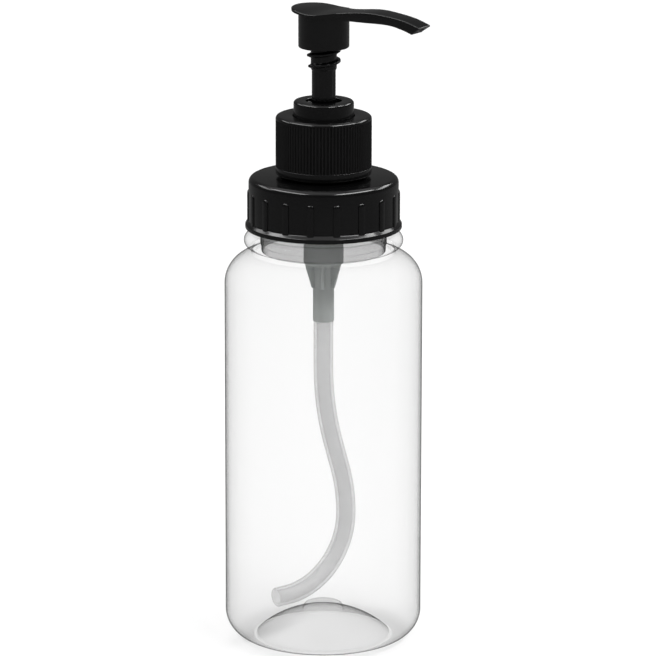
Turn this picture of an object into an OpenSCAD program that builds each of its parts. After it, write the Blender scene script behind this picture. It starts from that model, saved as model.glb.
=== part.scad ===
// Pump dispenser: a clear bottle, a wide screw lid and a lotion-type pump.
// All sizes are millimetres. +Z is up, the bottle stands on Z = 0 with its axis on Z,
// and the spout points along +X.

/* [Bottle] */
// Outside diameter of the bottle
bottle_d = 65; // [60:1:90]
// Height of the straight wall's upper end above the table
body_h = 120.5; // [105:0.5:200]
// Thickness of the bottle wall
bottle_wall = 0.8; // [0.6:0.1:1.4]
// Radius of the rounded edge round the base
base_round = 9.2; // [6:0.1:10]
// Width of the flat ring that the bottle stands on
foot_w = 1.8; // [1:0.1:3]
// Height of the push-up dome under the bottle
dome_h = 8.2; // [4:0.1:10]
// Diameter of the raised button in the middle of the dome
button_d = 11.4; // [6:0.1:16]
// Height of the button above the dome
button_h = 1.5; // [0.5:0.1:3]
// Radius of the rounded shoulder
shoulder_r = 10.5; // [8:0.1:12]

/* [Bottle neck] */
// Diameter of the bottle's mouth
mouth_d = 41.5; // [38:0.1:46]
// Thickness of the neck wall
neck_wall = 1.25; // [1:0.05:1.8]
// Extra radius of the thick band below the bead
neck_step = 1.4; // [0.8:0.1:2]
// Radius of the bead's rounded section
bead_r = 2.4; // [1.5:0.1:2.6]
// How far the bead stands out from the threaded neck
bead_out = 4.1; // [3.5:0.1:5]
// Height of the bead's middle above the straight wall
bead_rise = 14.5; // [13.5:0.1:18]
// Gap between the bead and the lid
lid_gap = 1.7; // [0.8:0.1:3]

/* [Screw threads] */
// Lead of the lid and closure threads
neck_lead = 4.23; // [4:0.01:4.5]
// Turns of thread on each neck
neck_turns = 1.5; // [1.25:0.25:1.5]
// Height of a thread ridge from its wall
ridge_h = 0.8; // [0.6:0.05:0.9]
// Width of a thread ridge at its wall
ridge_w = 1.5; // [1.2:0.1:1.7]
// Radial clearance between a ridge and the facing wall
screw_clear = 0.35; // [0.3:0.05:0.5]

/* [Lid] */
// Height of the lid
lid_h = 17.1; // [16:0.1:24]
// Thickness of the lid's side wall
lid_wall = 1.4; // [1:0.1:2]
// Thickness of the lid's top
lid_top = 1.6; // [1.2:0.1:2.4]
// Radius of the lid's rounded top edge
lid_round = 1.5; // [0.8:0.1:2]
// Number of grip ribs round the lid
lid_ribs = 18; // [12:1:24]
// Angle of the first grip rib from the spout
lid_rib_a = 14; // [0:1:19]
// Width of a grip rib
lid_rib_w = 2.5; // [1.5:0.1:3.5]
// How far a grip rib stands out
lid_rib_out = 0.45; // [0.3:0.05:1]
// Height of a grip rib above the lid's lower edge
lid_rib_h = 12.6; // [8:0.1:13.5]
// How far the lower edge flares out
flare_out = 1.1; // [0.6:0.1:1.5]
// Height of the flared edge
flare_h = 1.4; // [1:0.1:3]

/* [Neck insert] */
// Wall of the translucent sleeve inside the bottle's mouth
insert_wall = 1; // [0.8:0.1:1.4]
// Thickness of the insert's flange
insert_flange = 1; // [0.8:0.1:1.5]
// Depth of the sleeve below the mouth
insert_depth = 22.3; // [14:0.1:24]
// Height of the narrower lead-in at the sleeve's lower end
insert_lead = 2.3; // [1:0.1:4]

/* [Pump neck on the lid] */
// Bore of the pump neck
pump_neck_bore = 21; // [18:0.1:22]
// Wall of the pump neck
pump_neck_wall = 2.1; // [1.6:0.1:2.4]
// Height of the pump neck above the lid
pump_neck_h = 14.1; // [13:0.1:18]

/* [Closure] */
// Height of the ribbed closure
closure_h = 19.2; // [18.5:0.1:24]
// Wall of the closure at the foot of its ribs
closure_wall = 1.3; // [0.9:0.05:1.6]
// Thickness of the closure's top
closure_top = 1.6; // [1.2:0.1:2.2]
// Number of fine ribs round the closure
closure_ribs = 88; // [60:1:100]
// Depth of the fine ribs
closure_rib_h = 0.4; // [0.2:0.05:0.6]
// Height of the plain band below the ribs
closure_band = 2.4; // [1.5:0.1:4]
// Radius of the closure's rounded top edge
closure_round = 1.15; // [0.6:0.05:1.4]

/* [Lock collar] */
// Diameter of the collar where it stands above the closure
collar_d = 19.7; // [17.5:0.1:21]
// Height of the collar above the closure
collar_rise = 4.9; // [4:0.1:7]
// Radius of the collar's rounded top edge
collar_round = 0.7; // [0.3:0.1:1]
// Diameter of the threaded hole in the collar
lock_hole_d = 11.7; // [11.5:0.1:12.5]
// Length of the sleeve below the collar's flange
collar_sleeve = 12.1; // [8:0.1:14]

/* [Stem] */
// Diameter of the stem
stem_d = 7.6; // [7:0.1:8]
// Diameter of the stem's thicker, threaded top
barrel_d = 8.5; // [8.3:0.1:9]
// Height of the lock thread's ridge
lock_ridge_h = 1.25; // [0.8:0.05:1.3]
// Width of the lock thread's ridge at its root
lock_ridge_w = 1.5; // [1:0.1:1.8]
// Lead of the lock thread
lock_lead = 3.5; // [3:0.1:4]
// Number of shallow flutes down the stem
stem_flutes = 8; // [4:1:12]

/* [Pump] */
// Full stroke of the pump
stroke = 11; // [8:0.1:12]
// Outside diameter of the pump housing
housing_d = 13.1; // [12.5:0.1:14.5]
// Wall of the pump housing
housing_wall = 1.1; // [0.8:0.05:1.3]
// Length of the housing's barrel below its flange
housing_len = 46.3; // [46:0.1:60]
// Length of the finned cone below the barrel
cone_len = 8.1; // [7.5:0.1:11]
// Number of fins on the cone
fins = 6; // [4:1:8]
// Diameter of the check ball
ball_d = 4.76; // [4.5:0.01:4.8]
// Rise of the check ball off its seat
ball_lift = 1.5; // [1:0.1:1.6]
// Diameter of the hollow piston rod
rod_d = 5; // [4.6:0.1:5.2]
// Free play of the piston on its rod, which opens the outlet ports
piston_play = 0.9; // [0.5:0.1:0.9]
// Wire diameter of the return spring
wire_d = 0.7; // [0.5:0.05:0.8]
// Coils of the return spring
coils = 8; // [6:1:9]

/* [Head] */
// Diameter of the head's skirt
skirt_d = 16.6; // [15:0.1:18]
// Height of the skirt below the press pad's level
skirt_h = 12.8; // [10:0.1:14]
// Wall of the skirt
skirt_wall = 1.1; // [0.8:0.1:1.6]
// Radius of the press pad
pad_r = 9.65; // [9:0.05:11]
// How far the pad's middle sits behind the pump's axis
pad_back = 1.15; // [0:0.05:2]
// Thickness of the press pad
pad_t = 1.15; // [1:0.05:1.8]
// Depth of the dip across the press pad
pad_dip = 0.7; // [0.4:0.05:0.8]
// Reach of the spout from the pump's axis
spout_reach = 38.9; // [30:0.1:50]
// Half width of the spout's channel
channel_w = 1.3; // [0.8:0.1:1.6]

/* [Dip tube] */
// Outside diameter of the dip tube
tube_d = 6.4; // [6:0.1:6.6]
// Wall of the dip tube
tube_wall = 1; // [0.6:0.1:1.3]
// Direction of the tube's bulge round the bottle's axis
tube_turn = 69; // [0:1:359]
// How far below the shoulder the tube's straight run ends
straight_end = 28.5; // [20:0.5:40]
// Radius of the first, gentle bend
bend_1_r = 90; // [60:1:120]
// Turn of the first bend in degrees
bend_1_a = 17; // [10:1:20]
// Radius of the easy start of the second bend
bend_2_r = 54; // [40:1:70]
// Radius of the tight end of the second bend
bend_3_r = 24.6; // [15:0.1:28]
// Turn of the tight bend in degrees
bend_3_a = 88; // [45:1:90]

/* [Hidden] */
// sink: depth of a joined piece in its wall. hair: gap between faces that only rest.
// over: how far a cut runs past the face that it opens.
$fn = 96;
sink = 0.3;
hair = 0.05;
press_gap = 0.02;
slide_gap = 0.05;
turn_gap = 0.04;
eps = 0.01;
over = 1;

// Shape of a thread ridge: steps a turn, steps of its run-out and the crest's share of its width
thread_steps = 36;
run_out_steps = 4;
run_out_start = 0.4;
crest_share = 0.45;

// Bottle radii and heights
body_r = bottle_d / 2;
mouth_r = mouth_d / 2;
neck_r = mouth_r + neck_wall;
bead_z = body_h + bead_rise;
bead_centre_r = neck_r + bead_out - bead_r;
band_r = neck_r + neck_step;
foot_r = body_r - base_round;
dome_r = foot_r - foot_w;
dome_sphere_r = (dome_r * dome_r + dome_h * dome_h) / (2 * dome_h);
shoulder_x = body_r - shoulder_r;
neck_turn_h = neck_lead * neck_turns;

// Lid heights, up from the bead
lid_z = bead_z + bead_r + lid_gap;
lid_top_z = lid_z + lid_h;
mouth_z = lid_top_z - lid_top - insert_flange - hair;
lid_bore_r = neck_r + ridge_h + screw_clear;
lid_r = lid_bore_r + lid_wall;
neck_thread_z = mouth_z - neck_turn_h - ridge_w;

// Pump neck and closure
pump_neck_r = pump_neck_bore / 2 + pump_neck_wall;
pump_neck_z = lid_top_z + pump_neck_h;
gasket_t = 1.5;
flange_t = 1.5;
pump_ridge_h = ridge_h * 1.3;
closure_bore_r = pump_neck_r + pump_ridge_h + screw_clear;
closure_root_r = closure_bore_r + closure_wall;
closure_r = closure_root_r + closure_rib_h;
gasket_z = pump_neck_z + hair;
housing_top_z = gasket_z + gasket_t + flange_t;
collar_flange_z = housing_top_z + flange_t;
closure_top_z = collar_flange_z + hair + closure_top;
closure_z = closure_top_z - closure_h;
pump_thread_z = pump_neck_z - neck_turn_h - ridge_w;
flange_r = pump_neck_r;

// Lock collar
collar_z = closure_top_z + collar_rise;
collar_r = collar_d / 2;
collar_gap = 0.3;
lock_hole_r = lock_hole_d / 2;
lock_floor_t = 0.5;
lock_floor_z = closure_top_z + lock_floor_t;
sleeve_end_z = housing_top_z - collar_sleeve;

// Pump housing, from the top down
housing_r = housing_d / 2;
chamber_r = housing_r - housing_wall;
barrel_end_z = housing_top_z - housing_len;
chamber_floor_z = barrel_end_z + housing_wall;
cone_end_z = barrel_end_z - cone_len;
tail_wall = 0.25;
tail_r = tube_d / 2 + press_gap + tail_wall;
tail_len = 11.3;
tail_end_z = cone_end_z - tail_len;
core_step = 0.1;
core_r = tail_r + core_step;
fin_foot = 0.75;
cone_end_r = tail_r + fin_foot;
tube_stop_t = 1.3;
tube_top_z = cone_end_z - tube_stop_t;

// Inlet valve: a ball on a cone
ball_r = ball_d / 2;
ball_clear = 0.35;
ball_room_r = ball_r + ball_clear;
inlet_r = 1.5;
seat_steepness = 1.12;
seat_h = (ball_room_r - inlet_r) * seat_steepness;
seat_rise = 2.1;
seat_z = cone_end_z + seat_rise;
seat_angle = atan((ball_room_r - inlet_r) / seat_h);
ball_z = seat_z - inlet_r / tan(seat_angle) + ball_r / sin(seat_angle) + hair;
ball_stop_z = ball_z + ball_r + ball_lift + hair;
cage_t = 1;
cage_z = chamber_floor_z;
cage_hub_r = 3.3;
cage_hub_h = 2.8;

// Piston, rod and spring, hung from the collar's sleeve
piston_h = 4.75;
piston_rest_gap = 0.3;
piston_top_z = sleeve_end_z - piston_play - piston_rest_gap;
piston_z = piston_top_z - piston_h;
valve_top_z = piston_z - hair;
valve_t = 1.8;
valve_clear = 0.55;
valve_r = chamber_r - valve_clear;
spring_top_z = valve_top_z - valve_t;
spring_z = cage_z + cage_t;
spring_inset = 1.25;
spring_r = chamber_r - spring_inset;
rod_r = rod_d / 2;
rod_bore_r = 1.4;
rod_in_stem = 22.8;
rod_top_z = sleeve_end_z + rod_in_stem;
spigot_h = 3.9;

// Stem and head
stem_r = stem_d / 2;
barrel_r = barrel_d / 2;
barrel_dip = 0.9;
barrel_z = collar_z + stroke - barrel_dip;
barrel_to_pad = 20.2;
pad_z = barrel_z + barrel_to_pad;
skirt_z = pad_z - skirt_h;
skirt_r = skirt_d / 2;
plug_rise = 2.1;
stem_plug_z = skirt_z + plug_rise;
stem_plug_r = 3.6;
stem_plug_h = 5.2;
stem_bore_r = 1.6;
spout_drop = 2;
lock_thread_rise = 1.15;
lock_thread_z = barrel_z + lock_thread_rise;
lock_thread_start = 200;
lock_thread_turns = 1.9;

// Points on a smooth curve through the points p, with n steps a span
function knot(p, i) = p[max(0, min(len(p) - 1, i))];
function curve_at(a, b, c, d, t) =
    0.5 * (2 * b + (c - a) * t + (2 * a - 5 * b + 4 * c - d) * t * t
    + (3 * b - a - 3 * c + d) * t * t * t);
function smooth(p, n) = [
    for (i = [0:len(p) - 2])
        for (s = [0:n - 1])
            curve_at(knot(p, i - 1), knot(p, i), knot(p, i + 1), knot(p, i + 2), s / n),
    p[len(p) - 1]
];
function reversed(p) = [for (i = [len(p) - 1:-1:0]) p[i]];

// A tube standing on z
module pipe(r_out, r_in, z, h) {
    translate([0, 0, z])
        difference() {
            cylinder(r = r_out, h = h);
            translate([0, 0, -over]) cylinder(r = r_in, h = h + 2 * over);
        }
}

// A disc with a rounded upper edge, standing on z
module round_top_disc(r, z, h, edge) {
    translate([0, 0, z])
        rotate_extrude() {
            square([r - edge, h]);
            square([r, h - edge]);
            intersection() {
                translate([r - edge, h - edge]) circle(r = edge);
                square([r, h]);
            }
        }
}

// A right-handed helical ridge on a wall of radius wall_r. A negative height points inwards.
module ridge(wall_r, height, width, lead, turns, z, start) {
    steps = ceil(thread_steps * turns);
    crest_w = width * crest_share;
    root_r = wall_r - sign(height) * sink;
    pts = [
        for (i = [0:steps])
            let (
                a = start + 360 * turns * i / steps,
                from_end = min(i, steps - i),
                grow = min(1, (from_end + run_out_start) / run_out_steps),
                crest_r = wall_r + height * grow,
                zc = z + lead * turns * i / steps
            )
            each [
                [root_r * cos(a), root_r * sin(a), zc - width / 2],
                [crest_r * cos(a), crest_r * sin(a), zc - crest_w / 2],
                [crest_r * cos(a), crest_r * sin(a), zc + crest_w / 2],
                [root_r * cos(a), root_r * sin(a), zc + width / 2]
            ]
    ];
    sides = [
        for (i = [0:steps - 1])
            for (k = [0:3])
                let (a = 4 * i + k, b = 4 * i + (k + 1) % 4)
                each (height > 0
                    ? [[a, b, a + 4], [b, b + 4, a + 4]]
                    : [[a, a + 4, b], [b, a + 4, b + 4]])
    ];
    last = 4 * steps;
    ends = height > 0
        ? [[0, 2, 1], [0, 3, 2], [last, last + 1, last + 2], [last, last + 2, last + 3]]
        : [[0, 1, 2], [0, 2, 3], [last, last + 2, last + 1], [last, last + 3, last + 2]];
    polyhedron(points = pts, faces = concat(sides, ends), convexity = 6);
}

// Half outlines of the bottle, outside and inside
module bottle_outside() {
    square([foot_r, body_h]);
    translate([0, base_round]) square([body_r, body_h - base_round]);
    translate([foot_r, base_round]) circle(r = base_round);
    translate([shoulder_x, body_h]) circle(r = shoulder_r);
    square([shoulder_x, body_h + shoulder_r]);
    translate([0, body_h]) square([band_r, bead_rise]);
    translate([0, body_h]) square([neck_r, mouth_z - body_h]);
    translate([bead_centre_r, bead_z]) circle(r = bead_r);
    translate([0, bead_z - bead_r]) square([bead_centre_r, 2 * bead_r]);
}

module bottle_inside() {
    floor_r = base_round - bottle_wall;
    band_bore_r = band_r - neck_wall;
    translate([0, bottle_wall]) square([foot_r, body_h]);
    translate([0, base_round]) square([body_r - bottle_wall, body_h - base_round]);
    translate([foot_r, base_round]) circle(r = floor_r);
    translate([shoulder_x, body_h]) circle(r = shoulder_r - bottle_wall);
    translate([0, body_h]) square([shoulder_x, shoulder_r - bottle_wall]);
    translate([0, body_h]) square([band_bore_r, bead_rise - bead_r]);
    polygon([
        [0, bead_z - bead_r - over],
        [band_bore_r, bead_z - bead_r - over],
        [band_bore_r, bead_z - bead_r],
        [mouth_r, bead_z - bead_r + neck_step],
        [mouth_r, mouth_z + over],
        [0, mouth_z + over]
    ]);
}

module bottle() {
    color([0.93, 0.95, 0.96, 0.35])
        union() {
            difference() {
                rotate_extrude()
                    intersection() {
                        bottle_outside();
                        square([body_r, mouth_z]);
                    }
                rotate_extrude()
                    intersection() {
                        bottle_inside();
                        square([body_r, mouth_z + over]);
                    }
                bottle_dome(0);
            }
            difference() {
                bottle_dome(bottle_wall);
                bottle_dome(0);
            }
            ridge(neck_r, ridge_h, ridge_w, neck_lead, neck_turns, neck_thread_z, 0);
        }
}

// The push-up under the bottle with its button, grown by skin. Without a skin it is the cut.
module bottle_dome(skin) {
    intersection() {
        translate([0, 0, skin > 0 ? 0 : -eps]) cylinder(r = foot_r, h = dome_h + button_h + 2 * skin);
        translate([0, 0, dome_h - dome_sphere_r]) sphere(r = dome_sphere_r + skin);
    }
    cylinder(d = button_d + 2 * skin, h = dome_h + button_h + skin);
}

module lid() {
    color("#202020")
        union() {
            difference() {
                union() {
                    round_top_disc(lid_r, lid_z, lid_h, lid_round);
                    translate([0, 0, lid_z])
                        cylinder(r = lid_r + flare_out, h = flare_h);
                    translate([0, 0, lid_z + flare_h])
                        cylinder(r1 = lid_r + flare_out, r2 = lid_r, h = flare_out);
                    for (i = [0:lid_ribs - 1])
                        rotate([0, 0, lid_rib_a + i * 360 / lid_ribs])
                            lid_rib();
                    translate([0, 0, lid_top_z - eps])
                        cylinder(r = pump_neck_r, h = pump_neck_h + eps);
                }
                translate([0, 0, lid_z - over])
                    cylinder(r = lid_bore_r, h = lid_h - lid_top + over);
                translate([0, 0, lid_z])
                    cylinder(d = pump_neck_bore, h = lid_h + pump_neck_h + over);
            }
            ridge(lid_bore_r, -ridge_h, ridge_w, neck_lead, neck_turns,
                neck_thread_z - neck_lead / 2, 0);
            ridge(pump_neck_r, pump_ridge_h, ridge_w, neck_lead, neck_turns, pump_thread_z, 0);
        }
}

module lid_rib() {
    deep = lid_rib_out + lid_wall / 2;
    translate([lid_r - lid_wall / 2, -lid_rib_w / 2, lid_z])
        cube([deep, lid_rib_w, lid_rib_h - lid_rib_w / 2]);
    translate([lid_r - lid_wall / 2, 0, lid_z + lid_rib_h - lid_rib_w / 2])
        rotate([0, 90, 0]) cylinder(d = lid_rib_w, h = deep);
}

module lid_insert() {
    sleeve_r = mouth_r - slide_gap;
    flange_gap = 0.4;
    color([0.8, 0.82, 0.82, 0.6])
        rotate_extrude()
            polygon([
                [sleeve_r - insert_wall, mouth_z - insert_depth],
                [sleeve_r - insert_wall / 3, mouth_z - insert_depth],
                [sleeve_r - insert_wall / 3, mouth_z - insert_depth + insert_lead],
                [sleeve_r, mouth_z - insert_depth + insert_lead],
                [sleeve_r, mouth_z],
                [lid_bore_r - flange_gap, mouth_z],
                [lid_bore_r - flange_gap, mouth_z + insert_flange],
                [sleeve_r - insert_wall, mouth_z + insert_flange]
            ]);
}

module closure() {
    rib_z = closure_z + closure_band;
    rib_len = closure_h - closure_band - closure_round;
    color("#1e1e1e")
        union() {
            difference() {
                union() {
                    translate([0, 0, closure_z]) cylinder(r = closure_r, h = closure_band);
                    translate([0, 0, rib_z - eps])
                        linear_extrude(rib_len + 2 * eps) closure_outline();
                    round_top_disc(closure_r, rib_z + rib_len, closure_round, closure_round - eps);
                }
                translate([0, 0, closure_z - over])
                    cylinder(r = closure_bore_r, h = closure_h - closure_top + over);
                translate([0, 0, closure_z]) cylinder(r = collar_r + collar_gap, h = closure_h + over);
            }
            ridge(closure_bore_r, -ridge_h, ridge_w, neck_lead, neck_turns,
                pump_thread_z - neck_lead / 2, 0);
        }
}

// Zigzag section through the closure's fine ribs, which stop just short of the plain band
module closure_outline() {
    tip_r = closure_r - hair;
    polygon([
        for (i = [0:2 * closure_ribs - 1])
            let (r = i % 2 == 0 ? tip_r : closure_root_r, a = 180 * i / closure_ribs)
            [r * cos(a), r * sin(a)]
    ]);
}

module neck_gasket() {
    edge_in = 0.2;
    bore_out = 0.4;
    color("#d8d8d4")
        pipe(flange_r - edge_in, housing_r + bore_out, gasket_z, gasket_t);
}

module lock_collar() {
    guide_r = stem_r + slide_gap * 2;
    sleeve_clear = 0.35;
    hole_ridge_h = lock_ridge_h - 0.2;
    hole_ridge_turns = 0.6;
    hole_ridge_z = lock_floor_z + lock_ridge_w / 2 + 0.2;
    color("#1c1c1c")
        union() {
            difference() {
                union() {
                    round_top_disc(collar_r, collar_flange_z - eps,
                        collar_z - collar_flange_z + eps, collar_round);
                    translate([0, 0, housing_top_z]) cylinder(r = flange_r, h = flange_t);
                    translate([0, 0, sleeve_end_z])
                        cylinder(r = chamber_r - press_gap, h = housing_top_z - sleeve_end_z + eps);
                }
                translate([0, 0, lock_floor_z]) cylinder(r = lock_hole_r, h = collar_rise);
                translate([0, 0, sleeve_end_z - over])
                    cylinder(r = guide_r, h = collar_z - sleeve_end_z + 2 * over);
                translate([0, 0, sleeve_end_z - over])
                    cylinder(r = stem_r + sleeve_clear, h = collar_sleeve + over);
            }
            ridge(lock_hole_r, -hole_ridge_h, lock_ridge_w, lock_lead, hole_ridge_turns,
                hole_ridge_z, 0);
        }
}

module pump_housing() {
    color([0.78, 0.8, 0.8])
        difference() {
            union() {
                translate([0, 0, housing_top_z - flange_t]) cylinder(r = flange_r, h = flange_t);
                translate([0, 0, barrel_end_z]) cylinder(r = housing_r, h = housing_len);
                translate([0, 0, tail_end_z]) cylinder(r = tail_r, h = tail_len + eps);
                translate([0, 0, cone_end_z]) cylinder(r = core_r, h = cone_len + eps);
                for (i = [0:fins - 1])
                    rotate([0, 0, i * 360 / fins]) housing_fin();
            }
            translate([0, 0, chamber_floor_z]) cylinder(r = chamber_r, h = housing_len + over);
            translate([0, 0, seat_z + seat_h - eps])
                cylinder(r = ball_room_r, h = chamber_floor_z - seat_z - seat_h + 2 * eps);
            translate([0, 0, seat_z]) cylinder(r1 = inlet_r, r2 = ball_room_r, h = seat_h);
            translate([0, 0, tube_top_z - over])
                cylinder(r = inlet_r, h = seat_z - tube_top_z + over + eps);
            translate([0, 0, tail_end_z - over])
                cylinder(r = tube_d / 2 + press_gap, h = tube_top_z - tail_end_z + over + press_gap);
        }
}

module housing_fin() {
    fin_w = 1.2;
    root_r = core_r - 0.5;
    tip_r = housing_r - 0.1;
    translate([0, fin_w / 2, 0])
        rotate([90, 0, 0])
            linear_extrude(fin_w)
                polygon([
                    [root_r, cone_end_z + hair],
                    [cone_end_r, cone_end_z + hair],
                    [tip_r, barrel_end_z],
                    [tip_r, barrel_end_z + sink],
                    [root_r, barrel_end_z + sink]
                ]);
}

module ball_cage() {
    rim_r = chamber_r - press_gap;
    hub_wall = 0.8;
    bore_r = cage_hub_r - hub_wall;
    bar_w = 1.1;
    bar_r = cage_hub_r - hub_wall / 2;
    stop_r = 0.95;
    color([0.85, 0.85, 0.83])
        union() {
            pipe(rim_r, bore_r, cage_z, cage_t);
            pipe(cage_hub_r, bore_r, cage_z, cage_t + cage_hub_h);
            for (a = [0, 90])
                rotate([0, 0, a])
                    translate([-bar_r, -bar_w / 2, cage_z])
                        cube([2 * bar_r, bar_w, cage_t]);
            translate([0, 0, ball_stop_z]) cylinder(r = stop_r, h = cage_z + cage_t - ball_stop_z);
        }
}

module check_ball() {
    color("#c8c8cc")
        translate([0, 0, ball_z]) sphere(r = ball_r);
}

module return_spring() {
    coil_steps = 20;
    steps = coil_steps * coils;
    sides = 6;
    wire_r = wire_d / 2;
    low = spring_z + wire_r + hair;
    rise = spring_top_z - spring_z - 2 * wire_r - 2 * hair;
    pts = [
        for (i = [0:steps])
            let (
                a = 360 * coils * i / steps,
                t = max(0, min(1, (i - coil_steps) / (steps - 2 * coil_steps))),
                zc = low + wire_d * min(i, coil_steps) / coil_steps
                    + (rise - 2 * wire_d) * t
                    + wire_d * max(0, i - steps + coil_steps) / coil_steps
            )
            for (k = [0:sides - 1])
                let (r = spring_r + wire_r * cos(360 * k / sides))
                [r * cos(a), r * sin(a), zc + wire_r * sin(360 * k / sides)]
    ];
    skin = [
        for (i = [0:steps - 1])
            for (k = [0:sides - 1])
                let (a = sides * i + k, b = sides * i + (k + 1) % sides)
                each [[a, a + sides, b], [b, a + sides, b + sides]]
    ];
    last = sides * steps;
    ends = [[for (k = [0:sides - 1]) k], [for (k = [sides - 1:-1:0]) last + k]];
    color("#b9bcc0") polyhedron(points = pts, faces = concat(skin, ends), convexity = 10);
}

module piston_rod() {
    port_r = 0.7;
    port_gap = 0.2;
    bore_floor = 0.5;
    spigot_clear = 0.3;
    spigot_bore_r = 2.2;
    color([0.86, 0.87, 0.86])
        difference() {
            union() {
                translate([0, 0, spring_top_z]) cylinder(r = valve_r, h = valve_t);
                translate([0, 0, spring_top_z - spigot_h])
                    cylinder(r = spring_r - wire_d / 2 - spigot_clear, h = spigot_h + eps);
                translate([0, 0, valve_top_z - eps])
                    cylinder(r = rod_r, h = rod_top_z - valve_top_z + eps);
            }
            translate([0, 0, valve_top_z + bore_floor]) cylinder(r = rod_bore_r, h = rod_top_z);
            translate([-rod_d, 0, valve_top_z + bore_floor + port_gap + port_r])
                rotate([0, 90, 0]) cylinder(r = port_r, h = 2 * rod_d);
            translate([0, 0, spring_top_z - spigot_h - over])
                cylinder(r = spigot_bore_r, h = spigot_h);
        }
}

module piston() {
    lip_r = chamber_r - slide_gap;
    waist_r = chamber_r - 0.6;
    hole_r = rod_r + slide_gap;
    recess_r = rod_r + 0.9;
    lip_h = 0.9;
    lip_slope = 0.4;
    recess_h = 2.4;
    recess_slope = 0.9;
    color([0.9, 0.9, 0.88])
        rotate_extrude()
            polygon([
                [recess_r, piston_z],
                [lip_r, piston_z],
                [lip_r, piston_z + lip_h],
                [waist_r, piston_z + lip_h + lip_slope],
                [waist_r, piston_top_z - lip_h - lip_slope],
                [lip_r, piston_top_z - lip_h],
                [lip_r, piston_top_z],
                [hole_r, piston_top_z],
                [hole_r, piston_z + recess_h],
                [recess_r, piston_z + recess_h - recess_slope]
            ]);
}

module stem() {
    rod_fit_r = rod_r + turn_gap;
    chamfer = barrel_r - stem_r;
    flute_w = 0.8;
    flute_deep = 0.15;
    flute_gap = 0.55;
    flute_len = barrel_z - collar_z - 2 * flute_gap;
    color("#222222")
        union() {
            difference() {
                union() {
                    translate([0, 0, sleeve_end_z])
                        cylinder(r = stem_r, h = barrel_z - sleeve_end_z + over);
                    translate([0, 0, barrel_z]) cylinder(r1 = stem_r, r2 = barrel_r, h = chamfer);
                    translate([0, 0, barrel_z + chamfer])
                        cylinder(r = barrel_r, h = stem_plug_z - barrel_z - chamfer);
                    translate([0, 0, stem_plug_z - eps])
                        cylinder(r = stem_plug_r, h = stem_plug_h + eps);
                }
                translate([0, 0, sleeve_end_z - over])
                    cylinder(r = rod_fit_r, h = rod_top_z - sleeve_end_z + over + 2 * hair);
                translate([0, 0, rod_top_z]) cylinder(r = stem_bore_r, h = pad_z - rod_top_z);
                for (i = [0:stem_flutes - 1])
                    rotate([0, 0, i * 360 / stem_flutes])
                        translate([stem_r - flute_deep, -flute_w / 2, collar_z + flute_gap])
                            cube([over, flute_w, flute_len]);
            }
            ridge(barrel_r, lock_ridge_h, lock_ridge_w, lock_lead, lock_thread_turns,
                lock_thread_z, lock_thread_start);
        }
}

// Height of the head's upper surface along the spout, from the pad's level
function head_line() = smooth([
    [-pad_r - pad_back - 1, 0.45], [-6, 0], [1, -pad_dip], [9, 0.05], [spout_reach / 2, 1.05],
    [spout_reach * 0.7, 0.6], [spout_reach * 0.86, -0.35], [spout_reach, -spout_drop]
], 5);

// Underside of the head along the spout, from the pad's level
function under_line() = smooth([
    [-pad_r - pad_back - 1, 0.4 - pad_t], [-5, -pad_t], [2.6, -pad_t - pad_dip], [9.4, -pad_t - 1.2],
    [spout_reach / 3, -pad_t - 1.35], [spout_reach * 0.67, -pad_t - 1.05],
    [spout_reach * 0.83, -spout_drop - 1.05], [spout_reach - 2, -spout_drop - 2.2]
], 5);

// Half width of the head along the spout
function head_edge() = smooth([
    [2, 6.5], [5.6, 6.5], [7.2, 5.6], [8.8, 4.85], [12.8, 4.1], [20, 4.25], [30, 3.65], [spout_reach + 1, 3.45]
], 4);

// Middle of the duct inside the spout, from the pad's level
function duct_line() = smooth([
    [0, -1.5], [9.4, -1.15], [spout_reach * 0.47, -0.65], [spout_reach * 0.67, -0.75],
    [spout_reach * 0.83, -1.8], [spout_reach - 1, -spout_drop - 1.1], [spout_reach + 1, -spout_drop - 1.7]
], 4);

module head_plan() {
    edge = head_edge();
    translate([-pad_back, 0]) circle(r = pad_r);
    polygon(concat(edge, [for (p = reversed(edge)) [p[0], -p[1]]]));
}

// A side outline between two curves, swept across the head
module head_side(upper, lower, half_w) {
    translate([0, half_w, pad_z])
        rotate([90, 0, 0])
            linear_extrude(2 * half_w) polygon(concat(upper, reversed(lower)));
}

function shifted(p, dz) = [for (q = p) [q[0], q[1] + dz]];

module pump_head() {
    upper = head_line();
    lower = under_line();
    boss_r = 5.2;
    roof_z = pad_z - 3.3;
    skirt_top_gap = 0.15;
    bore_top_z = pad_z - 1.3;
    duct = duct_line();
    duct_h = 1;
    color("#1d1d1d")
        difference() {
            union() {
                intersection() {
                    translate([0, 0, skirt_z]) linear_extrude(2 * skirt_h) head_plan();
                    head_side(upper, lower, pad_r + over);
                }
                translate([0, 0, skirt_z]) cylinder(r = skirt_r, h = skirt_h - pad_dip - skirt_top_gap);
            }
            difference() {
                translate([0, 0, skirt_z - over])
                    cylinder(r = skirt_r - skirt_wall, h = roof_z - skirt_z + over);
                translate([0, 0, stem_plug_z + hair]) cylinder(r = boss_r, h = skirt_h);
            }
            translate([0, 0, stem_plug_z - over])
                cylinder(r = stem_plug_r + press_gap, h = stem_plug_h + over + hair);
            translate([0, 0, stem_plug_z]) cylinder(r = stem_bore_r, h = bore_top_z - stem_plug_z);
            head_side(shifted(duct, duct_h / 2), shifted(duct, -duct_h / 2), channel_w);
        }
}

// Most degrees of a bend between two rings of the tube
step_a = 6;

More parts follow.
